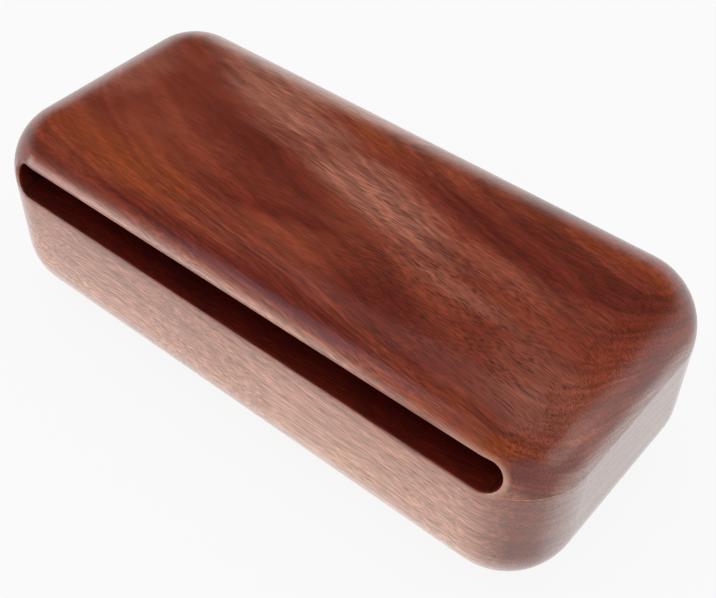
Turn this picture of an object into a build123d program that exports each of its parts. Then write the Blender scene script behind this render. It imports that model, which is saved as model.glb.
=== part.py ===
from build123d import *
import os

# A woodblock: two hardwood boards glued flat, rounded over as one and slotted along the front.
# Millimetres. +X runs along the block, the slot opens towards -Y, and the block stands on Z = 0.

# Driving dimensions
block_length = 190.0  # along X
block_width = 85.0  # along Y
block_height = 62.0  # along Z
edge_radius = 19.5  # round-over on every outer edge
lip_thickness = 11.0  # wood above the slot, which is struck
slot_height = 8.5  # diameter of the slot cutter, so the slot's ends are half round
end_wall = 12.5  # wood left at each end of the slot
back_wall = 15.0  # wood left behind the slot
mouth_ease = 1.0  # sanded round along the edge of the slot's mouth
glue_above_floor = 0.5  # from the slot's floor up to the underside of the glue
glue_thickness = 0.2  # film between the two boards

# Sizes that follow from them
slot_length = block_length - 2 * end_wall
slot_back = block_width / 2 - back_wall
slot_top = block_height - lip_thickness
slot_floor = slot_top - slot_height
glue_bottom = slot_floor + glue_above_floor
glue_top = glue_bottom + glue_thickness


def rounded_block():
    blank = Pos(0, 0, block_height / 2) * Box(block_length, block_width, block_height)
    return fillet(blank.edges(), edge_radius)


def slot_space():
    # The cutter's sweep, from the slot's back wall out past the front of the block
    back_plane = Plane(origin=(0, slot_back, (slot_floor + slot_top) / 2), x_dir=(1, 0, 0), z_dir=(0, -1, 0))
    outline = SlotOverall(slot_length, slot_height)
    return extrude(back_plane * outline, amount=block_width)


def shaped_block():
    block = rounded_block()
    slot = slot_space()
    slotted = block - slot
    mouth_edges = new_edges(block, slot, combined=slotted)
    return fillet(mouth_edges, mouth_ease)


def layer(body, bottom, top):
    # The part of the shaped block between two heights
    slab = Box(block_length, block_width, top - bottom, align=(Align.CENTER, Align.CENTER, Align.MIN))
    return body & (Pos(0, 0, bottom) * slab)


woodblock = shaped_block()
nodes = {
    "base_board": layer(woodblock, 0, glue_bottom),
    "glue_line": layer(woodblock, glue_bottom, glue_top),
    "top_board": layer(woodblock, glue_top, block_height),
}

os.makedirs("parts", exist_ok=True)
for name, shape in nodes.items():
    export_step(shape, f"parts/{name}.step")
    print(name, round(shape.volume, 1), "mm3")
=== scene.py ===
import math

import bpy
from mathutils import Matrix, Vector


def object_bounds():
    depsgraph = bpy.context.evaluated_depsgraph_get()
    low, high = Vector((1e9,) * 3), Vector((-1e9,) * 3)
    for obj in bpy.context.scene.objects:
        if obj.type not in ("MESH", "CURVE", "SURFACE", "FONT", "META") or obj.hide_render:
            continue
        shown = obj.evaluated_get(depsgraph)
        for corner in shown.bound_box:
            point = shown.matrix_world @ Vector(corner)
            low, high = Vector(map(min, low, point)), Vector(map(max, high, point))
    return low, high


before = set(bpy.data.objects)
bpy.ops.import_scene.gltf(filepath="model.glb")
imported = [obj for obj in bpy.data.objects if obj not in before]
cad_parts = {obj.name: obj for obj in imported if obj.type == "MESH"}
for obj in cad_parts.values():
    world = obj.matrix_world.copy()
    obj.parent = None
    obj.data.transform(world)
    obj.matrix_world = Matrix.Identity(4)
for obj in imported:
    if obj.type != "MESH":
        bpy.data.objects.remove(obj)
cadLow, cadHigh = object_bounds()
print("frame loaded:", ", ".join(sorted(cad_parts)))

scene = bpy.context.scene
scene.view_settings.view_transform = "Standard"


# small helpers for node trees

def toLinear(red, green, blue):
    # screen colour, 0 to 255, to the linear colour that a shader takes
    def channel(value):
        value /= 255
        return value / 12.92 if value <= 0.04045 else ((value + 0.055) / 1.055) ** 2.4
    return channel(red), channel(green), channel(blue), 1.0


def newNode(tree, kind, inputs=None, **settings):
    node = tree.nodes.new(kind)
    for name, value in settings.items():
        setattr(node, name, value)
    for name, value in (inputs or {}).items():
        if isinstance(value, bpy.types.NodeSocket):
            tree.links.new(value, node.inputs[name])
        else:
            node.inputs[name].default_value = value
    return node


def calc(tree, operation, first, second=0.0, third=0.0):
    inputs = {0: first, 1: second, 2: third}
    return newNode(tree, "ShaderNodeMath", inputs, operation=operation).outputs[0]


def vectorCalc(tree, operation, first, second=(0.0, 0.0, 0.0)):
    # both outputs of a vector sum: Vector, and Value for a length or a dot product
    return newNode(tree, "ShaderNodeVectorMath", {0: first, 1: second}, operation=operation).outputs


def remap(tree, value, low, high, outLow=0.0, outHigh=1.0):
    # smooth step from low..high to outLow..outHigh
    inputs = {"Value": value, "From Min": low, "From Max": high, "To Min": outLow, "To Max": outHigh}
    return newNode(tree, "ShaderNodeMapRange", inputs, interpolation_type="SMOOTHSTEP").outputs["Result"]


def blendColour(tree, factor, first, second, mode="MIX"):
    inputs = {0: factor, 6: first, 7: second}  # the factor and the two colours of a Mix node
    return newNode(tree, "ShaderNodeMix", inputs, data_type="RGBA", blend_type=mode).outputs[2]


def stretched(tree, along, across, through, lengths):
    # grain coordinates divided by a length in each direction
    parts = [calc(tree, "DIVIDE", value, size) for value, size in zip((along, across, through), lengths)]
    return newNode(tree, "ShaderNodeCombineXYZ", dict(enumerate(parts))).outputs[0]


def placeInMillimetres(tree):
    inputs = {0: newNode(tree, "ShaderNodeTexCoord").outputs["Object"], "Scale": 1000.0}
    return newNode(tree, "ShaderNodeVectorMath", inputs, operation="SCALE").outputs[0]


def addSockets(group, inputs, outputs):
    for direction, names in (("INPUT", inputs), ("OUTPUT", outputs)):
        for name, kind in names:
            group.interface.new_socket(name=name, in_out=direction, socket_type="NodeSocket" + kind)
    return newNode(group, "NodeGroupInput").outputs, newNode(group, "NodeGroupOutput").inputs


# wood figure, shared by both boards: layers, streaks, pores and drifting colour

figureLook = {
    "bendLength": (95.0, 60.0, 50.0),  # mm, size of the slow bends in the grain
    "bendDetail": 1.0,
    "bendAcross": 22.0,  # mm, how far the fibres wander sideways
    "bendThrough": 7.0,  # mm, how far the layers wander up and down
    "rippleLength": (22.0, 7.0, 7.0),  # mm, size of the small ripples
    "rippleDetail": 2.0,
    "rippleDepth": 1.5,  # mm
    "streakSize": (50.0, 0.6, 1.5),  # mm along the fibre, across it and through the layers
    "fineSize": (5.0, 0.36, 0.5),  # mm
    "driftSize": (34.0, 13.0, 6.0),  # mm
    "ringWidth": 1.0,  # mm from one fine growth line to the next
    "ringShare": 0.55,  # weight of the broad layers
    "lineShare": 0.45,  # weight of the fine growth lines
    "poreCell": 0.45,  # mm from one pore to the next
    "poreDive": -0.04,  # slope of the pores through the layers, which sets the length of their dashes
    "poreCurl": 0.0008,  # how fast that slope grows along the fibre
    "poreEdge": (0.14, 0.38),  # share of the cell, from the pore's heart to clear wood
    "poreGroups": (24.0, 2.2, 2.2),  # mm, size of the groups that pores gather in
    "poreAlone": 0.45,  # strength of the pores between the groups
    "noises": {  # detail, roughness, and the part of the noise that is spread over the whole range
        "rings": (3.0, 0.6, 0.3, 0.7),
        "lines": (1.0, 0.5, 0.35, 0.65),
        "streaks": (3.0, 0.6, 0.3, 0.7),
        "fine": (2.0, 0.6, 0.3, 0.7),
        "drift": (3.0, 0.55, 0.32, 0.68),
        "groups": (2.0, 0.5, 0.4, 0.6),
    },
}


def makeFigureGroup(look):
    group = bpy.data.node_groups.new("woodFigure", "ShaderNodeTree")
    given, result = addSockets(
        group,
        [(name, "Vector") for name in ("Fibre", "Side", "Layer", "Shift")] + [("Layer Width", "Float")],
        [(name, "Float") for name in ("Layers", "Streaks", "Fine", "Drift", "Pores")])

    # each board is cut from its own spot of the tree
    moved = vectorCalc(group, "ADD", placeInMillimetres(group), given["Shift"])["Vector"]
    along, across, through = (
        vectorCalc(group, "DOT_PRODUCT", moved, given[name])["Value"] for name in ("Fibre", "Side", "Layer"))

    # slow bends, then small ripples, push the grain sideways and the layers up and down
    def wander(lengths, detail):
        place = stretched(group, along, across, through, lengths)
        noise = newNode(group, "ShaderNodeTexNoise", {"Vector": place, "Scale": 1.0, "Detail": detail})
        return newNode(group, "ShaderNodeSeparateColor", {0: noise.outputs["Color"]}).outputs

    bend = wander(look["bendLength"], look["bendDetail"])
    ripple = wander(look["rippleLength"], look["rippleDetail"])

    def pushed(value, channel, amount):
        slow, quick = (calc(group, "SUBTRACT", noise[channel], 0.5) for noise in (bend, ripple))
        value = calc(group, "MULTIPLY_ADD", slow, amount, value)
        return calc(group, "MULTIPLY_ADD", quick, look["rippleDepth"], value)

    across = pushed(across, 1, look["bendAcross"])
    through = pushed(through, 2, look["bendThrough"])

    def spread(name, inputs, low=0.0, high=1.0):
        detail, roughness, fromLow, fromHigh = look["noises"][name]
        noise = newNode(group, "ShaderNodeTexNoise",
                        {**inputs, "Scale": 1.0, "Detail": detail, "Roughness": roughness},
                        noise_dimensions="1D" if "W" in inputs else "3D").outputs[0]
        return remap(group, noise, fromLow, fromHigh, low, high)

    def grained(name, sizes, low=0.0, high=1.0):
        return spread(name, {"Vector": stretched(group, along, across, through, sizes)}, low, high)

    depth = calc(group, "DIVIDE", through, given["Layer Width"])
    fineDepth = calc(group, "DIVIDE", through, look["ringWidth"])
    layers = calc(group, "ADD", spread("rings", {"W": depth}, 0.0, look["ringShare"]),
                  spread("lines", {"W": fineDepth}, 0.0, look["lineShare"]))

    # pores are thin tubes along the fibre, so they show as dashes on a face and as dots on the ends
    slope = calc(group, "MULTIPLY_ADD", along, look["poreCurl"], look["poreDive"])
    dive = calc(group, "MULTIPLY_ADD", along, slope, through)
    section = [calc(group, "DIVIDE", value, look["poreCell"]) for value in (across, dive)]
    place = newNode(group, "ShaderNodeCombineXYZ", dict(enumerate(section))).outputs[0]
    cell = newNode(group, "ShaderNodeTexVoronoi", {"Vector": place, "Scale": 1.0}, voronoi_dimensions="2D")
    tubes = remap(group, cell.outputs["Distance"], *look["poreEdge"], 1.0, 0.0)
    gathered = grained("groups", look["poreGroups"], look["poreAlone"], 1.0)

    made = {
        "Layers": layers,
        "Streaks": grained("streaks", look["streakSize"]),
        "Fine": grained("fine", look["fineSize"]),
        "Drift": grained("drift", look["driftSize"]),
        "Pores": calc(group, "MULTIPLY", tubes, gathered),
    }
    for name, value in made.items():
        group.links.new(value, result[name])
    return group


# soft, ragged patches of other colour, as wood has where its growth changed, and of painted light and painted
# shade

patchLook = {
    "noiseLength": (26.0, 6.0, 12.0),  # mm, size of the tongues along a patch's edge
    "noiseDetail": 4.0,
    "edge": (0.25, 1.1),  # share of the reach, from full colour to none
    "ragged": {"warm": 1.1, "dark": 1.1, "pale": 1.1, "front": 0.3, "calm": 0.8, "pore": 0.8},
}


def makePatchGroup(look):
    group = bpy.data.node_groups.new("softPatch", "ShaderNodeTree")
    given, result = addSockets(
        group, [("Middle", "Vector"), ("Reach", "Vector"), ("Turn", "Float"), ("Ragged", "Float")],
        [("Mask", "Float")])
    place = placeInMillimetres(group)
    offset = vectorCalc(group, "SUBTRACT", place, given["Middle"])["Vector"]
    turnBack = calc(group, "MULTIPLY", given["Turn"], -1.0)
    turned = newNode(group, "ShaderNodeVectorRotate", {"Vector": offset, "Angle": turnBack},
                     rotation_type="Z_AXIS").outputs[0]
    scaled = vectorCalc(group, "DIVIDE", turned, given["Reach"])["Vector"]
    distance = vectorCalc(group, "LENGTH", scaled)["Value"]
    tongues = vectorCalc(group, "MULTIPLY", place, [1 / length for length in look["noiseLength"]])["Vector"]
    noise = newNode(group, "ShaderNodeTexNoise",
                    {"Vector": tongues, "Scale": 1.0, "Detail": look["noiseDetail"]}).outputs[0]
    rough = calc(group, "MULTIPLY_ADD", calc(group, "SUBTRACT", noise, 0.5), given["Ragged"], distance)
    group.links.new(remap(group, rough, *look["edge"], 1.0, 0.0), result["Mask"])
    return group


def makeBoxGroup():
    # inside a box between two corners, with a feathered edge
    group = bpy.data.node_groups.new("insideBox", "ShaderNodeTree")
    given, result = addSockets(
        group, [("Low", "Vector"), ("High", "Vector"), ("Feather", "Float")], [("Mask", "Float")])
    place = placeInMillimetres(group)
    fromLow = vectorCalc(group, "SUBTRACT", place, given["Low"])["Vector"]
    fromHigh = vectorCalc(group, "SUBTRACT", given["High"], place)["Vector"]
    nearest = vectorCalc(group, "MINIMUM", fromLow, fromHigh)["Vector"]
    parts = newNode(group, "ShaderNodeSeparateXYZ", {0: nearest}).outputs
    depth = calc(group, "MINIMUM", calc(group, "MINIMUM", parts[0], parts[1]), parts[2])
    share = newNode(group, "ShaderNodeMath", {0: depth, 1: given["Feather"]},
                    operation="DIVIDE", use_clamp=True)
    group.links.new(share.outputs[0], result["Mask"])
    return group


slotLook = {  # mm, the slot as the block has it
    "halfLength": 78.25,  # from the middle to the centre of each round end
    "middle": 46.75,  # height of its middle above the table
    "radius": 4.25,
    "back": (30.0, 32.0),  # y behind its back wall, where the masks fade out
    "inside": (0.1, 0.5),  # past the radius, from bare slot wood with painted shade to finished wood
    "edge": (0.5, 0.8),  # past the radius, from the bare edge with painted shade to finished wood
    "rim": (1.0, 2.6),  # past the radius, from the painted pale highlight on the rim to finished wood
}


def makeSlotGroup(look):
    # the slot's wood, its eased edge and its rim, by the distance from the slot's middle line: bare wood and
    # painted shade inside, painted shade at the edge, a painted highlight on the rim
    group = bpy.data.node_groups.new("slotShadeAndBareWood", "ShaderNodeTree")
    result = addSockets(group, [], [(name, "Float") for name in ("Inside", "Edge", "Rim")])[1]
    along, deep, high = newNode(group, "ShaderNodeSeparateXYZ", {0: placeInMillimetres(group)}).outputs
    beyond = calc(group, "SUBTRACT", calc(group, "ABSOLUTE", along), look["halfLength"])
    aside = newNode(group, "ShaderNodeCombineXYZ",
                    {0: calc(group, "MAXIMUM", beyond, 0.0),
                     1: calc(group, "SUBTRACT", high, look["middle"])}).outputs[0]
    distance = vectorCalc(group, "LENGTH", aside)["Value"]
    forward = remap(group, deep, *look["back"], 1.0, 0.0)
    for name in ("Inside", "Edge", "Rim"):
        near, far = (look["radius"] + step for step in look[name.lower()])
        mask = remap(group, distance, near, far, 1.0, 0.0)
        group.links.new(calc(group, "MULTIPLY", mask, forward), result[name])
    return group


figureGroup = makeFigureGroup(figureLook)
patchGroup = makePatchGroup(patchLook)
boxGroup = makeBoxGroup()
slotGroup = makeSlotGroup(slotLook)
print("node groups made: woodFigure, softPatch, insideBox, slotShadeAndBareWood")


def grainAxes(look):
    # fibre, side and layer directions: layers lean by slopes along X and Y, fibres drift sideways
    layer = Vector((*look["layerTilt"], 1.0)).normalized()
    fibre = Vector((1.0, look["fibreDrift"], 0.0))
    fibre = (fibre - layer * fibre.dot(layer)).normalized()
    return fibre, layer.cross(fibre), layer


def placeGroup(tree, group, values):
    return newNode(tree, "ShaderNodeGroup", values, node_tree=group).outputs


def patchMask(tree, patches, kind):
    total = None
    ragged = patchLook["ragged"][kind]
    for middle, reach, turn, strength in patches:
        values = {"Middle": middle, "Reach": reach, "Turn": math.radians(turn), "Ragged": ragged}
        mask = calc(tree, "MULTIPLY", placeGroup(tree, patchGroup, values)["Mask"], strength)
        total = mask if total is None else calc(tree, "MAXIMUM", total, mask)
    return total


def tintBox(low, high, feather, share, colour):
    # a box of other colour: corners and soft edge in mm, and how much of the colour it takes
    return {"low": low, "high": high, "feather": feather, "share": share, "colour": colour}


def boxMask(tree, box):
    values = {"Low": box["low"], "High": box["high"], "Feather": box["feather"]}
    return placeGroup(tree, boxGroup, values)["Mask"]


def woodMaterial(name, look):
    material = bpy.data.materials.new(name)
    material.use_nodes = True
    tree = material.node_tree
    shader = tree.nodes["Principled BSDF"]
    fibre, side, layer = grainAxes(look)
    masks = placeGroup(tree, figureGroup, {"Fibre": fibre, "Side": side, "Layer": layer,
                                           "Shift": look["shift"], "Layer Width": look["layerWidth"]})

    # ground colour drifts along the grain, and patches and boxes of other colour lie on it, some of them
    # painted light and painted shade
    colour = blendColour(tree, masks["Drift"], toLinear(*look["groundDark"]), toLinear(*look["groundPale"]))
    for kind in ("warm", "dark", "pale", "front"):
        if look[kind + "Patches"]:
            mask = patchMask(tree, look[kind + "Patches"], kind)
            colour = blendColour(tree, mask, colour, toLinear(*look[kind + "Colour"]))
    # boxes of painted light, painted shade and other tone
    for box in look["toneAndLightTints"]:
        tint = calc(tree, "MULTIPLY", boxMask(tree, box), box["share"])
        colour = blendColour(tree, tint, colour, toLinear(*box["colour"]))

    # layers, streaks and fine fibres shade it, less so in quiet and calm wood
    shade = 1.0
    for mask, key in (("Layers", "layerShade"), ("Streaks", "streakShade"), ("Fine", "fineShade")):
        shade = calc(tree, "MULTIPLY", shade, remap(tree, masks[mask], 0.0, 1.0, *look[key]))
    quiet = patchMask(tree, look["calmPatches"] + look["quietPatches"], "calm")
    shade = calc(tree, "MULTIPLY_ADD", shade, calc(tree, "SUBTRACT", 1.0, quiet), quiet)
    colour = blendColour(tree, 1.0, colour, shade, "MULTIPLY")

    # dark pores, more of them in open wood and fewer in calm wood
    openWood = patchMask(tree, look["palePatches"] + look["porePatches"], "pore")
    plainWood = calc(tree, "SUBTRACT", 1.0, patchMask(tree, look["calmPatches"], "calm"))
    amount = calc(tree, "MULTIPLY", remap(tree, openWood, 0.0, 1.0, *look["poreAmount"]), plainWood)
    amount = calc(tree, "MULTIPLY", masks["Pores"], amount)
    colour = blendColour(tree, amount, colour, toLinear(*look["poreColour"]))

    # painted reflection: the end grain at the right end is paler and greyer
    if "endReflectionColour" in look:
        normal = newNode(tree, "ShaderNodeTexCoord").outputs["Normal"]
        ends = remap(tree, vectorCalc(tree, "DOT_PRODUCT", normal, fibre)["Value"], *look["endFacing"])
        endReflectionColour = blendColour(tree, 1.0, toLinear(*look["endReflectionColour"]), shade, "MULTIPLY")
        colour = blendColour(tree, calc(tree, "MULTIPLY", ends, look["endShare"]), colour, endReflectionColour)

    # painted highlight on the rim round the slot, the bare edge of its floor with painted shade, and bare
    # wood inside it with painted shade
    slot = placeGroup(tree, slotGroup, {})
    slotShadeAndBareWood = bareWood = slot["Inside"]
    rimHighlight = look["paintedRimHighlight"]
    rim = calc(tree, "MULTIPLY", calc(tree, "SUBTRACT", slot["Rim"], slotShadeAndBareWood), boxMask(tree, rimHighlight))
    colour = blendColour(tree, calc(tree, "MULTIPLY", rim, rimHighlight["share"]), colour, toLinear(*rimHighlight["colour"]))
    # the slot floor's front edge is bare wood, and darker as painted shade
    if "floorEdgeAndShade" in look:
        bareEdgeAndShade = look["floorEdgeAndShade"]
        edge = calc(tree, "SUBTRACT", calc(tree, "MULTIPLY", slot["Edge"], boxMask(tree, bareEdgeAndShade)), slotShadeAndBareWood)
        edge = calc(tree, "MULTIPLY", edge, bareEdgeAndShade["share"])
        colour = blendColour(tree, edge, colour, toLinear(*bareEdgeAndShade["colour"]))
        bareWood = calc(tree, "MAXIMUM", slotShadeAndBareWood, edge)
    # painted shade: the slot's inside is darker, and its wood bare
    slotShadeColour = blendColour(tree, 1.0, colour, toLinear(*look["slotShadeTint"]), "MULTIPLY")
    colour = blendColour(tree, slotShadeAndBareWood, colour, slotShadeColour)
    tree.links.new(colour, shader.inputs["Base Color"])

    # open pores, streaks and bare wood break up the satin finish
    dullness = look["roughness"]
    for mask, key in ((masks["Pores"], "poreDullness"), (masks["Streaks"], "streakDullness"),
                      (bareWood, "bareDullness")):
        dullness = calc(tree, "MULTIPLY_ADD", mask, look[key], dullness)
    tree.links.new(dullness, shader.inputs["Roughness"])
    coat = calc(tree, "MULTIPLY_ADD", bareWood, -look["coat"], look["coat"])
    tree.links.new(coat, shader.inputs["Coat Weight"])
    height = calc(tree, "SUBTRACT", calc(tree, "MULTIPLY", masks["Fine"], look["fineRelief"]), masks["Pores"])
    relief = newNode(tree, "ShaderNodeBump", {"Height": height, "Strength": look["reliefStrength"],
                                              "Distance": look["reliefDepth"]})
    tree.links.new(relief.outputs["Normal"], shader.inputs["Normal"])
    shader.inputs["Coat Roughness"].default_value = look["coatRoughness"]
    shader.inputs["Coat IOR"].default_value = look["coatIor"]
    shader.inputs["Specular IOR Level"].default_value = look["specular"]
    print("material made:", name)
    return material


upperWood = {  # lengths in mm, patches as middle, reach, turn in degrees and strength
    "layerTilt": (0.1, 0.31),
    "fibreDrift": -0.03,
    "shift": (12.0, 40.0, 7.0),
    "layerWidth": 3.4,
    "groundDark": (114, 42, 23),
    "groundPale": (134, 59, 36),
    "palePatches": [
        ((-32, 17, 60), (42, 12, 14), -17, 0.85),
        ((10, 4, 60), (42, 11, 14), -14, 0.9),
        ((52, 1.5, 60), (36, 6, 14), -2, 0.2),
        ((46, -10.5, 60), (32, 4.5, 14), -5, 0.42),
        ((80, -22, 56), (24, 14, 16), -28, 0.35),
        ((-80, 2, 60), (14, 24, 14), 0, 0.35),
    ],
    "paleColour": (162, 100, 80),
    "porePatches": [
        ((52, -20, 58), (70, 30, 24), -12, 0.9),
        ((95, 0, 50), (16, 60, 24), 0, 0.8),
    ],
    "darkPatches": [
        ((-53, 19, 60), (13, 10, 14), 0, 0.8),
        ((54, 14, 60), (58, 10, 14), -6, 0.6),
        ((-16, -3, 60), (36, 10, 14), -14, 0.5),
        ((36, -25, 60), (26, 11, 14), -9, 0.8),
        ((-3, -17, 60), (22, 3, 10), 15, 0.6),
        ((-8, -36, 57.2), (100, 5, 4), 0, 0.8),  # painted shade above the pale lip
        ((56, -1, 60), (26, 6, 14), -4, 0.35),
        ((86.5, -36.5, 51), (8, 6, 4.6), 0, 0.95),  # painted shade round the front right corner
        ((91.5, -30, 50.5), (6, 10, 4), 0, 0.85),
        ((89, -36, 47), (7, 6, 8), 0, 0.6),
    ],
    # dark figure in the wood, and painted shade above the lip and round the front right corner
    "darkColour": (95, 24, 9),
    "calmPatches": [  # little figure and few pores
        ((-66, -2, 60), (55, 44, 30), -8, 0.6),
        ((-4, -10, 60), (40, 16, 20), -12, 0.4),
        ((25, -25, 60), (62, 11, 20), -9, 0.4),
    ],
    "quietPatches": [((62, -22, 58), (44, 24, 24), -8, 0.5)],  # little figure, pores as elsewhere
    "warmPatches": [
        ((-52, -27, 58), (42, 12, 16), -3, 0.7),
        ((-5, 24, 60), (16, 5, 12), -18, 0.7),
        ((58, 26, 58), (42, 5, 14), -3, 0.5),
        ((80, -38, 53), (15, 9, 6), 8, 0.95),
        ((62, -37.5, 54.5), (34, 6, 6), 5, 0.5),
    ],
    "warmColour": (138, 60, 19),
    # painted light: paler wood where highlights, light and reflections fall
    "frontPatches": [
        ((-4, -42, 50), (94, 7.2, 8.0), 0, 0.8),  # painted highlight along the lip
        ((46, -42, 50), (46, 4.2, 4.4), 0, 0.8),
        ((84.5, -41, 44), (7, 6, 5), 0, 0.3),  # painted light beside the slot's ends
        ((-84.5, -41, 44), (7, 6, 5), 0, 0.5),
        ((-38, 36, 58), (95, 14, 12), 0, 0.72),  # painted reflection along the back rim
    ],
    "frontColour": (188, 138, 116),
    "layerShade": (0.72, 1.2),
    "streakShade": (0.92, 1.07),
    "fineShade": (0.78, 1.22),
    "poreColour": (52, 18, 12),
    "poreAmount": (0.4, 0.85),
    "toneAndLightTints": [tintBox((91.5, -34, 38), (98, 44, 49.5), 5.0, 0.85, (178, 154, 146))],  # painted reflection, paler and greyer at the right end
    # painted highlight on the eased rim at the slot's right end
    "paintedRimHighlight": tintBox((62, -50, 38), (120, -30, 58), 14.0, 0.9, (206, 160, 138)),
    # painted shade inside the slot
    "slotShadeTint": (150, 66, 40),
    "roughness": 0.36,
    "poreDullness": 0.18,
    "streakDullness": 0.08,
    "bareDullness": 0.3,
    "fineRelief": 0.3,  # height of the fine fibres, where a pore's depth is 1
    "reliefStrength": 0.3,
    "reliefDepth": 0.00008,  # m
    "specular": 0.1,
    "coat": 0.8,
    "coatRoughness": 0.18,
    "coatIor": 1.6,
}
lowerWood = dict(
    upperWood,
    layerTilt=(0.05, 0.1),
    fibreDrift=0.09,
    shift=(-60.0, 15.0, 90.0),
    groundDark=(128, 66, 46),
    groundPale=(150, 86, 62),
    palePatches=[],
    porePatches=[((0, -42, 22), (150, 30, 60), 0, 1.0)],
    frontPatches=[],
    calmPatches=[((-95, 20, 20), (30, 60, 60), 0, 0.3)],
    quietPatches=[],
    # painted shade at the front right corner
    darkPatches=[
        ((93, -41, 22), (24, 25, 50), 0, 0.7),
        ((89, -37.5, 40), (8, 8, 10), 0, 0.9),
    ],
    # colour of the painted shade
    darkColour=(104, 34, 10),
    warmPatches=[],
    layerShade=(0.84, 1.12),
    streakShade=(0.86, 1.1),
    poreColour=(84, 44, 32),
    poreAmount=(0.36, 0.6),
    toneAndLightTints=[
        tintBox((-130, -65, -20), (87, -30, 60), 12.0, 1.0, (204, 154, 130)),  # painted light, pale front
        tintBox((-130, -65, -40), (92, -20, 20), 16.0, 0.7, (230, 188, 168)),  # painted light, paler towards its foot
        tintBox((-130, -65, 19), (110, -18, 80), 23.0, 0.5, (140, 70, 42)),  # painted shade, browner towards the slot
        tintBox((-150, -90, 2), (20, 20, 90), 40.0, 0.36, (140, 62, 32)),  # and towards the left end
        tintBox((-130, -65, 38), (92, -30, 80), 4.5, 0.45, (112, 38, 14)),  # painted shade just under the slot
    ],
    # bare edge of the slot's floor, darkened as painted shade
    floorEdgeAndShade=tintBox((-80, -44, 40), (80, -40, 46), 3.0, 0.9, (98, 30, 18)),
    # painted shade inside the slot
    slotShadeTint=(142, 62, 36),
    # painted reflection on the right end
    endReflectionColour=(158, 132, 124),
    endFacing=(0.72, 0.98),  # how squarely a face looks along the fibre, from none to all of that colour
    endShare=0.85,
    coat=1.0,
    coatIor=1.7,
)
glueLook = {
    "pale": (196, 146, 92),
    "dark": (140, 86, 52),
    "slot": (30, 12, 8),  # painted shade inside the slot
    "grainScale": 900.0,  # patches of pale and dark in a metre
    "grainDetail": 2.0,
    "grainEdge": (0.35, 0.65),
    "roughness": 0.45,
}


def glueMaterial(look):
    material = bpy.data.materials.new("driedGlue")
    material.use_nodes = True
    tree = material.node_tree
    shader = tree.nodes["Principled BSDF"]
    place = newNode(tree, "ShaderNodeTexCoord").outputs["Object"]
    grain = newNode(tree, "ShaderNodeTexNoise",
                    {"Vector": place, "Scale": look["grainScale"], "Detail": look["grainDetail"]}).outputs[0]
    colour = blendColour(tree, remap(tree, grain, *look["grainEdge"]),
                         toLinear(*look["dark"]), toLinear(*look["pale"]))
    slot = placeGroup(tree, slotGroup, {})
    colour = blendColour(tree, slot["Inside"], colour, toLinear(*look["slot"]))
    tree.links.new(colour, shader.inputs["Base Color"])
    shader.inputs["Roughness"].default_value = look["roughness"]
    print("material made: driedGlue")
    return material


def dress(node, material):
    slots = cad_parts[node].data.materials
    slots.clear()
    slots.append(material)


dress("top_board", woodMaterial("upperWood", upperWood))
dress("base_board", woodMaterial("lowerWood", lowerWood))
dress("glue_line", glueMaterial(glueLook))


def seenDirectly(tree):
    # 1 for what the camera sees, straight or by way of gloss and glass
    path = newNode(tree, "ShaderNodeLightPath").outputs
    return calc(tree, "MAXIMUM", path["Is Camera Ray"],
                calc(tree, "MAXIMUM", path["Is Glossy Ray"], path["Is Transmission Ray"]))


# white table under the block

tableLook = {
    "size": 4.0,  # m
    "colour": (0.9, 0.9, 0.9, 1.0),
    "roughness": 0.9,
    "specular": 0.0,
    "white": (0.955, 0.955, 0.955, 1.0),
    "whiteShare": 0.94,  # the rest shows the block's shadow
}


def makeTable(look):
    half = look["size"] / 2
    corners = [(-half, -half, 0), (half, -half, 0), (half, half, 0), (-half, half, 0)]
    mesh = bpy.data.meshes.new("whiteTable")
    mesh.from_pydata(corners, [], [(0, 1, 2, 3)])
    table = bpy.data.objects.new("whiteTable", mesh)
    scene.collection.objects.link(table)
    material = bpy.data.materials.new("tableWhite")
    material.use_nodes = True
    tree = material.node_tree
    shader = tree.nodes["Principled BSDF"]
    shader.inputs["Base Color"].default_value = look["colour"]
    shader.inputs["Roughness"].default_value = look["roughness"]
    shader.inputs["Specular IOR Level"].default_value = look["specular"]
    glow = newNode(tree, "ShaderNodeEmission", {"Color": look["white"], "Strength": 1.0})
    share = calc(tree, "MULTIPLY", seenDirectly(tree), look["whiteShare"])
    mixed = newNode(tree, "ShaderNodeMixShader", {0: share, 1: shader.outputs[0], 2: glow.outputs[0]})
    tree.links.new(mixed.outputs[0], tree.nodes["Material Output"].inputs["Surface"])
    mesh.materials.append(material)


makeTable(tableLook)
print("table made")


# soft studio light: a dim room, pale near the horizon, and large softboxes

roomLook = {
    "fillLow": 0.36,  # light from the room on the block, low down and overhead
    "fillHigh": 1.3,
    "fillRise": (0.1, 1.0),  # from the horizon at 0 to overhead at 1
    "horizon": 1.0,  # brightness that the camera and gloss see
    "ceiling": 0.02,
    "horizonTop": 0.45,
}


def makeRoom(look):
    world = bpy.data.worlds.new("studio")
    world.use_nodes = True
    scene.world = world
    tree = world.node_tree
    background = tree.nodes["Background"]
    background.inputs["Color"].default_value = (1.0, 1.0, 1.0, 1.0)
    direction = newNode(tree, "ShaderNodeTexCoord").outputs["Generated"]
    rise = newNode(tree, "ShaderNodeSeparateXYZ", {0: direction}).outputs["Z"]
    shown = remap(tree, rise, 0.0, look["horizonTop"], look["horizon"], look["ceiling"])
    fill = remap(tree, rise, *look["fillRise"], look["fillLow"], look["fillHigh"])
    levels = {0: seenDirectly(tree), 2: fill, 3: shown}  # the factor and the two numbers of a Mix node
    level = newNode(tree, "ShaderNodeMix", levels, data_type="FLOAT").outputs[0]
    tree.links.new(level, background.inputs["Strength"])


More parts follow.
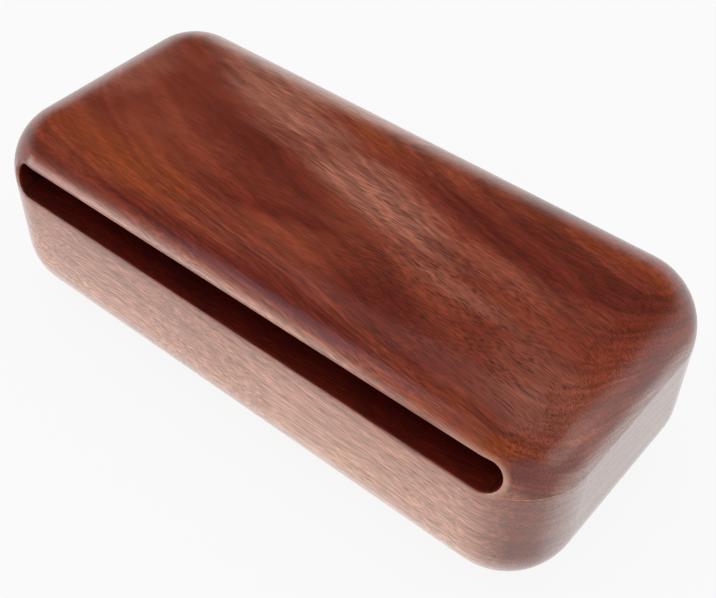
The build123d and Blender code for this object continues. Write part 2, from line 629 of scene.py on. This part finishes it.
plainLight = (1.0, 1.0, 1.0)
violetLight = (0.9, 0.8, 1.0)
softboxes = {  # place and size in metres, power in watts
    "overheadBox": {"place": (0.12, -0.12, 1.0), "size": (1.2, 1.2), "power": 1.2, "colour": plainLight},
    "keyBox": {"place": (-0.62, -0.85, 0.13), "size": (0.75, 0.24), "power": 2.6, "colour": plainLight},
    "highStrip": {"place": (-0.36, -0.68, 0.45), "size": (0.3, 0.2), "power": 0.2, "colour": violetLight},
    "rightBox": {"place": (0.95, 0.15, 0.2), "size": (0.9, 0.4), "power": 0.9, "colour": plainLight},
}


def makeSoftbox(name, look, target):
    light = bpy.data.lights.new(name, "AREA")
    light.shape = "RECTANGLE"
    light.size, light.size_y = look["size"]
    light.energy = look["power"]
    light.color = look["colour"]
    box = bpy.data.objects.new(name, light)
    box.location = look["place"]
    box.rotation_euler = (target - Vector(look["place"])).to_track_quat("-Z", "Y").to_euler()
    scene.collection.objects.link(box)


blockMiddle = (cadLow + cadHigh) / 2
makeRoom(roomLook)
for boxName, boxLook in softboxes.items():
    makeSoftbox(boxName, boxLook, blockMiddle)
print("light made:", ", ".join(softboxes))


# camera at the photograph's viewing angle

cameraLook = {
    "azimuth": 38.839,  # degrees from the front towards the right end
    "elevation": 45.435,
    "roll": 1.115,
    "distance": 0.330686,  # m, to the middle of the block
    "aside": -0.006701,  # m, the block's middle in the view, right and up
    "above": 0.007993,
    "focalPixels": 1183.8,
    "imageWidth": 716.0,
    "sensorWidth": 36.0,  # mm
}


def makeCamera(look, middle):
    turn, rise, roll = (math.radians(look[key]) for key in ("azimuth", "elevation", "roll"))
    back = Vector((math.sin(turn) * math.cos(rise), -math.cos(turn) * math.cos(rise), math.sin(rise)))
    right = Vector((math.cos(turn), math.sin(turn), 0))
    up = back.cross(right)
    right, up = (right * math.cos(roll) + up * math.sin(roll), up * math.cos(roll) - right * math.sin(roll))
    data = bpy.data.cameras.new("camera")
    data.sensor_width = look["sensorWidth"]
    data.lens = look["focalPixels"] * look["sensorWidth"] / look["imageWidth"]
    camera = bpy.data.objects.new("camera", data)
    place = middle + back * look["distance"] - right * look["aside"] - up * look["above"]
    camera.matrix_world = Matrix.Translation(place) @ Matrix((right, up, back)).transposed().to_4x4()
    scene.collection.objects.link(camera)
    scene.camera = camera


makeCamera(cameraLook, blockMiddle)
print("camera made")
